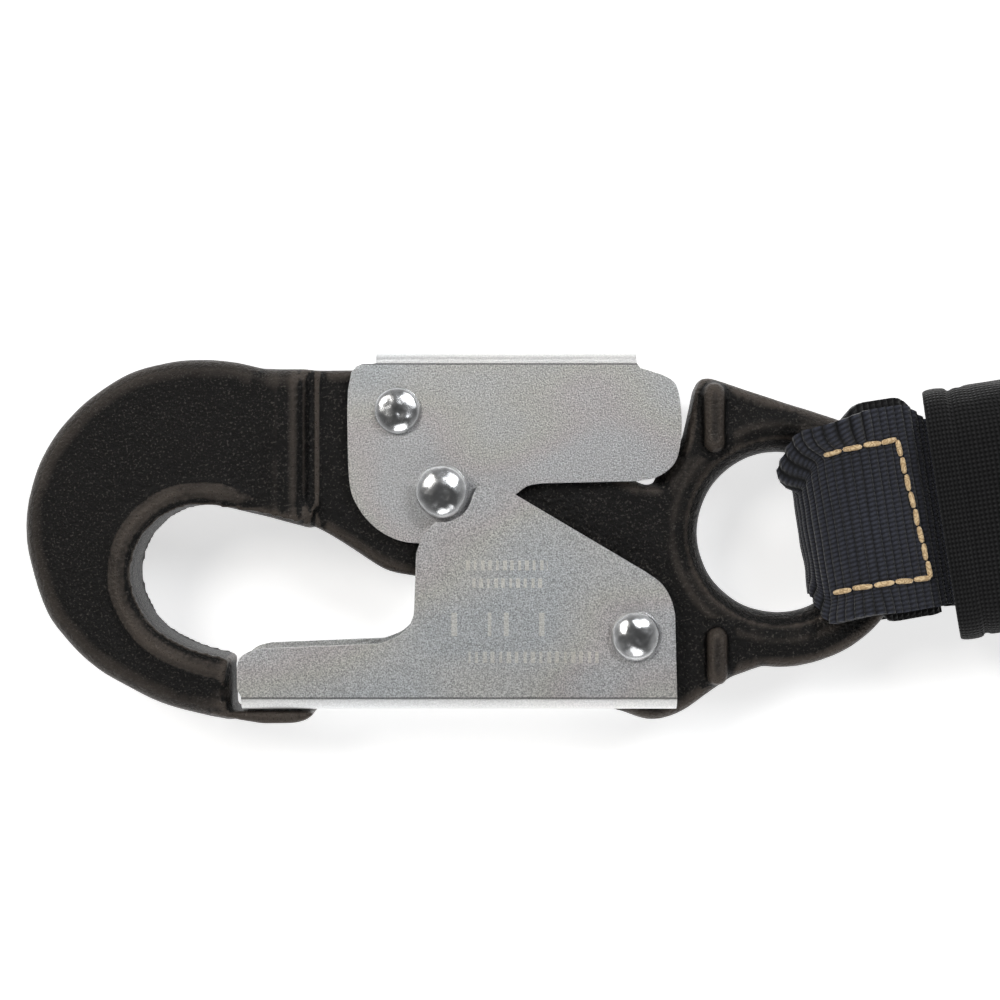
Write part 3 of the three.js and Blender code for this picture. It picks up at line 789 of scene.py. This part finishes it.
FOLD_BACK = 3.2
LEG_TAPER = radians(12.4)
LOOP_RADIUS = 8.83
LEG_LENGTH = 32.05
WEB_WIDTH = 32.0
WEB_THICKNESS = 1.6
PAD_WIDTH = WEB_WIDTH + 2.6
PAD_THICKNESS = 0.9
PAD_GAP = 0.3
RIB_PITCH = 1.25
RIB_RISE = 0.11
STITCH_PITCH = 2.75
ARC_LENGTH = LOOP_RADIUS * (pi + 2 * LEG_TAPER)
LOOP_LENGTH = 2 * LEG_LENGTH + ARC_LENGTH


def loop_place(end):
    """From millimetres round the middle of the ring's bar to the table."""
    bar = Vector(joints[end + "_hook_swing"]["pos_m"])
    turn = 0 if end == "harness" else pi
    return Matrix.Translation(bar) @ Matrix.Rotation(turn, 4, "Z") @ Matrix.Scale(MM, 4)


def loop_side(s):
    """The loop seen from the side: place and outward direction at a distance along the webbing."""
    top = pi / 2 - LEG_TAPER
    turn = min(max((s - LEG_LENGTH) / LOOP_RADIUS, 0), pi + 2 * LEG_TAPER) + top
    out = Vector((cos(turn), 0, sin(turn)))
    place = Vector((-FOLD_BACK, 0, 0)) + LOOP_RADIUS * out
    if s < LEG_LENGTH:
        place += (LEG_LENGTH - s) * Vector((sin(top), 0, -cos(top)))
    if s > LEG_LENGTH + ARC_LENGTH:
        place += (s - LEG_LENGTH - ARC_LENGTH) * Vector((sin(top), 0, cos(top)))
    return place, out, turn


def loop_point(s, w, lift=0.0):
    """A point of the loop, w across it, lift outwards from its middle surface."""
    place, out, turn = loop_side(s)
    first = 2.15 if w > 0 else 2.4
    squeeze = smooth_step(first, 2.95, turn) * smooth_step(4.1, 3.4, turn)
    near = smooth_step(11, 3, place.x)
    shift = near * (2.0 * smooth_step(3.6, 1.6, turn) + 0.2)
    tucked = smooth_step(3.5, 8.0, place.x)
    side = w * (1 - 0.04 * near) * (1 - 0.4 * squeeze) * (1 - 0.1 * tucked)
    bent = smooth_step(1.2, 1.9, turn) * smooth_step(3.15, 2.6, turn)
    lobe, hem = smooth_step(9.5, 15, w) * bent, smooth_step(-11.5, -16, w) * bent
    soft = 0.25 * near * noise.noise(Vector((s * 0.12, w * 0.16, 3.0)))
    lift += 2.3 * lobe + 1.3 * hem - 1.9 * tucked + soft
    point = place + lift * out
    point.x -= 1.7 * lobe
    point.y = side + shift - 1.3 * lobe + 0.5 * hem
    return point


def cloth_strip(length, width, steps, across, point, pace=None):
    """A strip of cloth bent into place, with its distances along and across as its map."""
    bm = bmesh.new()
    bmesh.ops.create_grid(bm, x_segments=steps, y_segments=across, size=0.5)
    weave = bm.loops.layers.uv.new("weave")
    flat = {}
    for v in bm.verts:
        share = v.co.x + 0.5
        flat[v] = (pace(share) if pace else share * length, v.co.y * width)
    for face in bm.faces:
        for loop in face.loops:
            loop[weave].uv = flat[loop.vert]
    for v, (s, w) in flat.items():
        v.co = point(s, w)
    bmesh.ops.recalc_face_normals(bm, faces=bm.faces)
    return bm


def thicken(made, thickness, rounding=0.0):
    """Gives a strip its thickness, half to each side, and rounds its selvedges."""
    wall = made.modifiers.new("thickness", "SOLIDIFY")
    wall.thickness, wall.offset = thickness * MM, 0
    if rounding:
        edge = made.modifiers.new("selvedge", "BEVEL")
        edge.width, edge.segments, edge.angle_limit = rounding * MM, 2, radians(60)


def webbing(name, dark, light, pitch=RIB_PITCH):
    """Ribbed webbing: cords across it, each wrapped in slanting yarns."""
    material, paint, shader = finish(name, Sheen_Weight=0.25, Sheen_Roughness=0.5, Specular_IOR_Level=0.25)
    along, across = map_fields(paint, "weave")
    turns = along / pitch + 0.5
    rib = 0.5 - 0.5 * wave(turns * (2 * pi) + pi / 2)
    slant = turns.math("FRACT", turns)
    yarn = 0.5 + 0.5 * wave(across * (2 * pi / 0.72) + slant * 4.2)
    fuzz = grain(paint, 2800, 2.0)
    # The colour follows the cords' height: painted shade in the grooves between cords and yarns, painted
    # highlights on their crests; fuzz and larger patches are the yarn's own tone.
    cord = rib * (0.45 + 0.55 * yarn)
    shade = (cord ** 1.5) * (0.2 + 1.6 * fuzz) * (0.75 + 0.5 * grain(paint, 140, 2.0))
    feed(
        shader,
        Base_Color=blend_colours(shade, dark, light),
        Roughness=0.9 - 0.15 * cord,
        height=(cord + 0.25 * fuzz, 0.00028),
    )
    return material


navy_webbing = webbing("navy webbing", (0.0006, 0.0007, 0.0012, 1), (0.046, 0.05, 0.07, 1))
pad_webbing = webbing("black webbing", (0.002, 0.002, 0.0024, 1), (0.013, 0.013, 0.0145, 1), 1.0)

tan_thread, paint, shader = finish("tan thread", Sheen_Weight=0.3, Specular_IOR_Level=0.3)
twist = 0.5 + 0.5 * wave(grain(paint, 900, 1.0) * 30)
feed(
    shader,
    Base_Color=blend_colours(twist, (0.58, 0.39, 0.2, 1), (0.98, 0.74, 0.44, 1)),
    Roughness=0.6 + 0.2 * twist,
    height=(twist, 0.00005),
)


def loop_s(x):
    """Distance along the webbing of the place on the upper leg at x."""
    return LEG_LENGTH - (x + FOLD_BACK - LOOP_RADIUS * sin(LEG_TAPER)) / cos(LEG_TAPER)


def sew(route, pitch, point, width=0.82, height=0.72):
    """Stitches along a route of (s, w) places, each a short rounded strand."""
    bm = bmesh.new()
    marks = [Vector((*mark, 0)) for mark in route]
    for a, b in zip(marks, marks[1:]):
        count = max(round((b - a).length / pitch), 1)
        for i in range(count):
            start, end = (a.lerp(b, (i + share) / count) for share in (0.01, 0.99))
            tail_end, tip = point(start.x, start.y), point(end.x, end.y)
            middle = point(*((start + end) / 2).xy)
            run = tip - tail_end
            facing = run.to_track_quat("X", "Z").to_matrix().to_4x4()
            made = bmesh.ops.create_uvsphere(bm, u_segments=10, v_segments=8, radius=0.5)["verts"]
            for v in made:
                v.co = Vector((v.co.z, v.co.y, v.co.x))
                v.co.x = copysign(0.5 * abs(2 * v.co.x) ** 1.7, v.co.x)
                v.co.yz = v.co.yz.normalized() * 0.5 * (1 - abs(2 * v.co.x) ** 5) ** 0.5
            scale = Matrix.Diagonal((run.length, width, height, 1))
            sway = Matrix.Rotation(random.uniform(-0.1, 0.1), 4, "Z")
            laid = Matrix.Translation(middle) @ facing @ sway @ scale
            bmesh.ops.transform(bm, matrix=laid, verts=made)
    return bm


def ribbed_loop(s, w):
    return loop_point(s, w, RIB_RISE * cos(2 * pi * s / RIB_PITCH))


pad_start = loop_s(6.0)
pad_length = 2 * (LOOP_LENGTH / 2 - pad_start)
pad_below = 0.5 * (WEB_THICKNESS + PAD_THICKNESS) + PAD_GAP


def pad_point(s, w):
    """A point of the pad, which lies inside the loop and narrows on its far side."""
    turn = loop_side(pad_start + s)[2]
    narrowed = w * (1 - 0.1 * smooth_step(1.45, 1.8, turn))
    return loop_point(pad_start + s, narrowed, 0.06 * cos(2 * pi * s) - pad_below)


u_route = [(LEG_LENGTH + 9, -10.8), (loop_s(3.9), -11.3), (loop_s(2.1), 10.6), (LEG_LENGTH + 7, 10.4)]
loop_mesh = cloth_strip(LOOP_LENGTH, WEB_WIDTH, 420, 26, ribbed_loop)
pad_mesh = cloth_strip(pad_length, PAD_WIDTH, 150, 26, pad_point)
sewn_mesh = sew(u_route, STITCH_PITCH, lambda s, w: loop_point(s, w, WEB_THICKNESS / 2 + 0.3))
for end in ENDS:
    place = loop_place(end)
    parts = []
    for mesh, name, slot_name, material, replaced in (
        (loop_mesh, "loop_webbing", "navy_webbing", navy_webbing, [end + "_loop"]),
        (pad_mesh, "loop_pad", "black_webbing", pad_webbing, [end + "_wear_pad"]),
        (sewn_mesh, "loop_stitches", "navy_webbing", tan_thread, []),
    ):
        made = place_piece(mesh, f"{end}_{name}", place, None, slot_name, material, replaced)
        start, finish_at = (place @ Vector((x, 0, 0)) for x in (4.0, -6.0))
        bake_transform(made)
        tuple(start)
        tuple(finish_at)
        parts.append(made)
    thicken(parts[0], WEB_THICKNESS, 0.45)
    thicken(parts[1], PAD_THICKNESS, 0.25)
for mesh in (loop_mesh, pad_mesh, sewn_mesh):
    mesh.free()


# ---- Knit sleeves ----
# A tube of black stretch knit covers the absorber, and a short one the anchor loop's splice. Both
# mouths end in a narrow, nearly flat hem with a crease behind it, drawn in a little round the webbing.

def knit(name, dark, light):
    material, paint, shader = finish(name, Sheen_Weight=0.2, Sheen_Roughness=0.45, Specular_IOR_Level=0.2)
    along, across = map_fields(paint, "weave")
    column = wave(across * (2 * pi / 0.7))
    row = wave(along * (2 * pi / 0.55) + 0.9 * column)
    stitch = 0.5 + 0.25 * column + 0.25 * row
    fuzz = grain(paint, 1900, 3.0, 0.65)
    # The colour follows the stitch height: painted shade in the hollows between stitches, painted
    # highlights on their tops; fuzz and larger patches are the yarn's own tone.
    shade = (stitch ** 1.6) * (0.1 + 1.6 * fuzz) * (0.7 + 0.6 * grain(paint, 90, 3.0))
    feed(
        shader,
        Base_Color=blend_colours(shade, dark, light),
        Roughness=0.95 - 0.1 * stitch,
        height=(stitch + 0.5 * fuzz, 0.00016),
    )
    return material


black_knit = knit("black knit", (0.0008, 0.0008, 0.0009, 1), (0.026, 0.026, 0.027, 1))
HEM = 3.6
HEM_ROLL = 0.4
KNIT_WALL = 0.9
DRAWN_IN = 0.75
MOUTH_LENGTH = 9.0  # stretch at each mouth that takes DENSE of the rows of the mesh
DENSE = 0.2


def soft_piece(bm, name, slot, material, replaces=()):
    """A piece drawn in millimetres on the table, on the webbing's body; the bmesh is freed."""
    made = place_piece(bm, name, Matrix.Scale(MM, 4), "webbing", slot, material, replaces)
    bm.free()
    return made


def follow(points):
    """A line of places in X and Z; gives place and upward normal at a distance along it."""
    gone = [0.0]
    for a, b in zip(points, points[1:]):
        gone.append(gone[-1] + (b - a).length)

    def at(s):
        low, high = 0, len(gone) - 2
        while low < high:
            middle = (low + high + 1) // 2
            low, high = (middle, high) if gone[middle] <= s else (low, middle - 1)
        a, b = points[low], points[low + 1]
        share = (s - gone[low]) / (gone[low + 1] - gone[low])
        run = (b - a).normalized()
        return a.lerp(b, share), Vector((-run.z, 0, run.x))

    return at, gone[-1]


def oblong(half_width, half_height, power):
    """A rounded oblong, drawn in X and Z from the middle of its underside and back to it."""
    section = []
    for i in range(361):
        a = 2 * pi * i / 360 - pi / 2
        c, z = cos(a), sin(a)
        wide, tall = copysign(abs(c) ** power, c), copysign(abs(z) ** power, z)
        section.append(Vector((half_width * wide, 0, half_height * tall)))
    return follow(section)


def sleeve_strip(node, seed):
    """A soft tube in a node's box, in millimetres on the table, closed along its underside."""
    low, high = (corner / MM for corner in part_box(node))
    middle = (low + high) / 2
    length = high.x - low.x
    half_width, half_height = (high.y - low.y) / 2, (high.z - low.z) / 2
    around, girth = oblong(half_width, half_height, 2 / 3.6)

    def pace(share):
        if share < DENSE:
            return MOUTH_LENGTH * share / DENSE
        if share > 1 - DENSE:
            return length - MOUTH_LENGTH * (1 - share) / DENSE
        return MOUTH_LENGTH + (length - 2 * MOUTH_LENGTH) * (share - DENSE) / (1 - 2 * DENSE)

    def point(s, w):
        place, inward = around(w + girth / 2)
        c, z = place.x / half_width, place.z / half_height
        edge = min(s, length - s)
        roll = HEM_ROLL * sqrt(max(1 - ((edge - HEM / 2) / (HEM / 2)) ** 2, 0))
        crease = -0.25 * exp(-(((edge - HEM - 0.35) / 0.45) ** 2))
        second = -0.12 * exp(-(((edge - HEM - 2.6 - 0.8 * z) / 0.6) ** 2))
        ripple = Vector((s * 0.05, 3 * c + seed, 3 * z))
        soft = (0.7 * noise.noise(ripple) + 0.35 * noise.noise(ripple * 2.7)) * smooth_step(1, 8, edge)
        grow = -DRAWN_IN + roll + crease + second + soft
        mouth = 1 - 0.07 * smooth_step(16, 0, edge) * smooth_step(10, 11, half_height)
        y = place.x - grow * inward.x
        up = (place.z - 0.4 * grow * inward.z) * mouth
        lean = (2.3 * (1 - z) - 2.0) * smooth_step(14, 2, edge)
        x = low.x + s + (lean if s < length / 2 else -lean)
        return Vector((x, middle.y + y, middle.z + max(up, -half_height + 0.15)))

    return cloth_strip(length, girth, round(length) + 60, 110, point, pace), (girth, length)


for node, seed, inside in (
    ("absorber_sleeve", 1.0, "tear_web_pack"), ("anchor_splice_sleeve", 8.0, "anchor_loop_webbing")
):
    tube, (girth, length) = sleeve_strip(node, seed)
    weld(tube)
    made = soft_piece(tube, node.replace("sleeve", "knit"), "black_knit", black_knit, [node])
    wall = made.modifiers.new("wall", "SOLIDIFY")
    wall.thickness, wall.offset = KNIT_WALL * MM, -1
    girth * MM
    length * MM


# ---- Folded webbing inside the absorber ----
# The absorber's tear webbing is folded in five runs and sewn shut, with the backup strap folded in
# four runs on top. Both are seen only through the sleeve's far mouth.

def runs(start, end, low, pitch, count):
    """A strip folded to and fro between two places along X, from its lowest run up."""
    radius = pitch / 2
    reach = radius + WEB_THICKNESS / 2
    away = copysign(1, end - start)
    near, far = start + away * reach, end - away * reach
    line = [Vector((start, 0, low))]
    for i in range(count):
        level = low + i * pitch
        stop = far if i % 2 == 0 else near
        heading = away if i % 2 == 0 else -away
        if i == count - 1:
            line.append(Vector((end if i % 2 == 0 else start, 0, level)))
            break
        line.append(Vector((stop, 0, level)))
        for k in range(1, 9):
            a = pi * k / 8
            x, rise = stop + heading * radius * sin(a), radius * (1 - cos(a))
            line.append(Vector((x, 0, level + rise)))
    return line


GAP_BELOW = 0.5
GAP_ABOVE = 0.8
PACK_SHARE = 0.8  # of the width of its box
tear_webbing = webbing("tear webbing", (0.05, 0.045, 0.034, 1), (0.42, 0.39, 0.31, 1), 1.0)
for node, count, material, slot_name in (
    ("tear_web_pack", 5, tear_webbing, "tear_webbing"),
    ("backup_strap", 4, pad_webbing, "black_webbing"),
):
    low, high = (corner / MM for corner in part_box(node))
    low.z, high.z = low.z + GAP_BELOW, high.z - GAP_ABOVE
    pitch = (high.z - low.z - WEB_THICKNESS) / (count - 1)
    at, length = follow(runs(low.x, high.x, low.z + WEB_THICKNESS / 2, pitch, count))
    width, middle = PACK_SHARE * (high.y - low.y), (high.y + low.y) / 2
    strip = cloth_strip(length, width, round(length / 0.8), 8,
                        lambda s, w: at(s)[0] + Vector((0, middle + w, 0)))
    made = soft_piece(strip, node + "_folded", slot_name, material, [node])
    thicken(made, WEB_THICKNESS)
    length * MM


# ---- Blank label ----
# A patch of pale vinyl without print is sewn on top of the absorber, its corners rounded.

low, high = (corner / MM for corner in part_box("blank_label"))
PATCH = 0.7
corner = 3.0
patch_line = [
    *arc((high.x - corner, low.y + corner), corner, -pi / 2, 0, 5),
    *arc((high.x - corner, high.y - corner), corner, 0, pi / 2, 5),
    *arc((low.x + corner, high.y - corner), corner, pi / 2, pi, 5),
    *arc((low.x + corner, low.y + corner), corner, pi, 1.5 * pi, 5),
]
bm = bmesh.new()
slab(bm, patch_line, low.z, low.z + PATCH, 0.2, 2)
label_vinyl, paint, shader = finish("label vinyl", Specular_IOR_Level=0.45)
age = grain(paint, 70, 4.0)
pebble = grain(paint, 1500, 2.0)
feed(
    shader,
    Base_Color=blend_colours(age, (0.5, 0.48, 0.42, 1), (0.74, 0.73, 0.68, 1)),
    Roughness=0.38 + 0.2 * age,
    height=(pebble, 0.00006),
)
soft_piece(bm, "label_patch", "label_vinyl", label_vinyl, ["blank_label"])
inset = 1.8
left, right, front, back = low.x + inset, high.x - inset, low.y + inset, high.y - inset
border = [(left, front), (right, front), (right, back), (left, back), (left, front)]
bm = sew(border, 2.6, lambda x, y: Vector((x, y, low.z + PATCH + 0.05)), 0.55, 0.4)
soft_piece(bm, "label_stitches", "black_webbing", pad_webbing)


# ---- Leg of webbing and its tie ----
# One length of the same navy webbing leaves the absorber, turns by two flat folds, is put away in a
# hank of seven runs under an elastic tie, turns again and runs into the anchor loop's splice.

FOLD_RADIUS = 1.0
TABLE_LEVEL = WEB_THICKNESS / 2 + 0.05
half_web = WEB_WIDTH / 2
LEAD = half_web + 2
DIAGONAL = sqrt(0.5)
rows = [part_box("absorber_sleeve"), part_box("leg_hank"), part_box("anchor_splice_sleeve")]
row_y = [(a.y + b.y) / 2 / MM for a, b in rows]


def fold_over(point, origin, along, beyond):
    """Folds what lies beyond a line in the table's plane back over it, with a small roll."""
    out = (point - origin).dot(beyond)
    if out <= 0:
        return point
    roll = pi * FOLD_RADIUS
    foot = origin + along * (point - origin).dot(along)
    if out < roll:
        turn = out / FOLD_RADIUS
        flat = (FOLD_RADIUS - point.z) * sin(turn)
        level = FOLD_RADIUS - (FOLD_RADIUS - point.z) * cos(turn)
    else:
        flat, level = roll - out, 2 * FOLD_RADIUS - point.z
    made = foot + beyond * flat
    made.z = level
    return made


def flat_turn(s, w, gap_between):
    """A U-turn by two folds at 45 degrees; comes in along +X and leaves along -X, towards -Y."""
    point = Vector((s, w, 0))
    up, down = Vector((DIAGONAL, DIAGONAL, 0)), Vector((DIAGONAL, -DIAGONAL, 0))
    point = fold_over(point, Vector((LEAD + gap_between, 0, 0)), up, down)
    return fold_over(point, Vector((LEAD, 0, 0)), down, up)


def eased(start, end, low, high, steps=16):
    """A line from one level to another that starts and ends flat."""
    line = []
    for i in range(steps + 1):
        level = low + (high - low) * smooth_step(0, 1, i / steps)
        line.append(Vector((start + (end - start) * i / steps, 0, level)))
    return line


roll_shift = pi * FOLD_RADIUS * DIAGONAL
near_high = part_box("leg_near_turn")[1] / MM
far_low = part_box("leg_far_turn")[0] / MM
hank_low, hank_high = (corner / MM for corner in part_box("leg_hank"))
near_gap, far_gap = row_y[0] - row_y[1], row_y[1] - row_y[2]
near_start = near_high.x - half_web - roll_shift - LEAD
far_start = far_low.x + half_web + roll_shift + LEAD
turn_lengths = [2 * LEAD + gap_between + 2 * roll_shift for gap_between in (near_gap, far_gap)]
turn_ends = [flat_turn(length, 0, gap_between).x
             for length, gap_between in zip(turn_lengths, (near_gap, far_gap))]
hank_pitch = (hank_high.z - hank_low.z - WEB_THICKNESS) / 6
hank_runs = runs(hank_high.x, hank_low.x, hank_low.z + WEB_THICKNESS / 2, hank_pitch, 7)
exit_low, exit_high = (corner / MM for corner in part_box("leg_absorber_run"))
splice_low, splice_high = (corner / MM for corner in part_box("anchor_splice_sleeve"))
bar_height = joints["anchor_hook_swing"]["pos_m"][2] / MM
first, first_length = follow(
    eased(exit_low.x, near_start, exit_high.z - WEB_THICKNESS / 2, TABLE_LEVEL)
)
hank, hank_length = follow([
    *eased(near_start + turn_ends[0], hank_high.x - 6, TABLE_LEVEL, hank_runs[0].z, 6)[:-1],
    Vector((hank_high.x - 6, 0, hank_runs[0].z)),
    *hank_runs[1:],
    *eased(hank_low.x - 0.5, far_start, hank_runs[-1].z, TABLE_LEVEL),
])
last, last_length = follow([
    *eased(far_start - turn_ends[1], splice_low.x + 6, TABLE_LEVEL, bar_height),
    Vector((splice_high.x - 22, 0, bar_height)),
])
spans = [first_length, turn_lengths[0], hank_length, turn_lengths[1], last_length]
LEG_TOTAL = sum(spans)


def leg_point(s, w):
    """A point of the leg, in millimetres on the table."""
    part = 0
    while part < 4 and s > spans[part]:
        s -= spans[part]
        part += 1
    soft = 0.12 * noise.noise(Vector((s * 0.05, w * 0.1, part)))
    if part == 0:
        return first(s)[0] + Vector((0, row_y[0] + w, 0))
    if part == 1:
        turn = flat_turn(s, w, near_gap)
        return Vector((near_start + turn.x, row_y[0] + turn.y, TABLE_LEVEL + turn.z))
    if part == 2:
        place, up = hank(s)
        return place + up * soft + Vector((0, row_y[1] - w, 0))
    if part == 3:
        turn = flat_turn(s, -w, far_gap)
        return Vector((far_start - turn.x, row_y[1] + turn.y, TABLE_LEVEL + turn.z))
    return last(s)[0] + Vector((0, row_y[2] + w, 0))


strip = cloth_strip(LEG_TOTAL, WEB_WIDTH, round(LEG_TOTAL / 0.85), 16, leg_point)
leg = soft_piece(strip, "leg_webbing", "navy_webbing", navy_webbing,
                 ["leg_absorber_run", "leg_near_turn", "leg_hank", "leg_hank_run_out", "leg_far_turn",
                  "leg_anchor_run"])
thicken(leg, WEB_THICKNESS)
LEG_TOTAL * MM

elastic_band, paint, shader = finish("elastic band", Sheen_Weight=0.2, Specular_IOR_Level=0.3)
along, across = map_fields(paint, "weave")
strand = 0.5 + 0.5 * wave(along * (2 * pi / 0.9))
knot = 0.5 + 0.5 * wave(across * (2 * pi / 0.7))
cord = strand * (0.6 + 0.4 * knot)
feed(
    shader,
    Base_Color=blend_colours(cord * (0.6 + 0.6 * grain(paint, 1500, 2.0)),
                             (0.003, 0.003, 0.0035, 1), (0.022, 0.022, 0.024, 1)),
    Roughness=0.85 - 0.2 * strand,
    height=(cord, 0.0002),
)
low, high = (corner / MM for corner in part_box("hank_tie"))
centre, reach = (low + high) / 2, (high - low) / 2
tie_around, tie_round = oblong(reach.y - 0.7, reach.z - 0.65, 0.3)


def tie_point(s, w):
    """The tie grips the hank: a rounded oblong, drawn in a little along its middle."""
    place = tie_around(w + tie_round / 2)[0]
    grip = 0.985 + 0.015 * abs(2 * s / (high.x - low.x) - 1) ** 2
    return Vector((low.x + s, centre.y + place.x * grip, centre.z + place.z * grip))


strip = cloth_strip(high.x - low.x, tie_round, 22, 120, tie_point)
weld(strip)
tie = soft_piece(strip, "elastic_tie", "elastic_band", elastic_band, ["hank_tie"])
thicken(tie, 1.0)
tie_round * MM
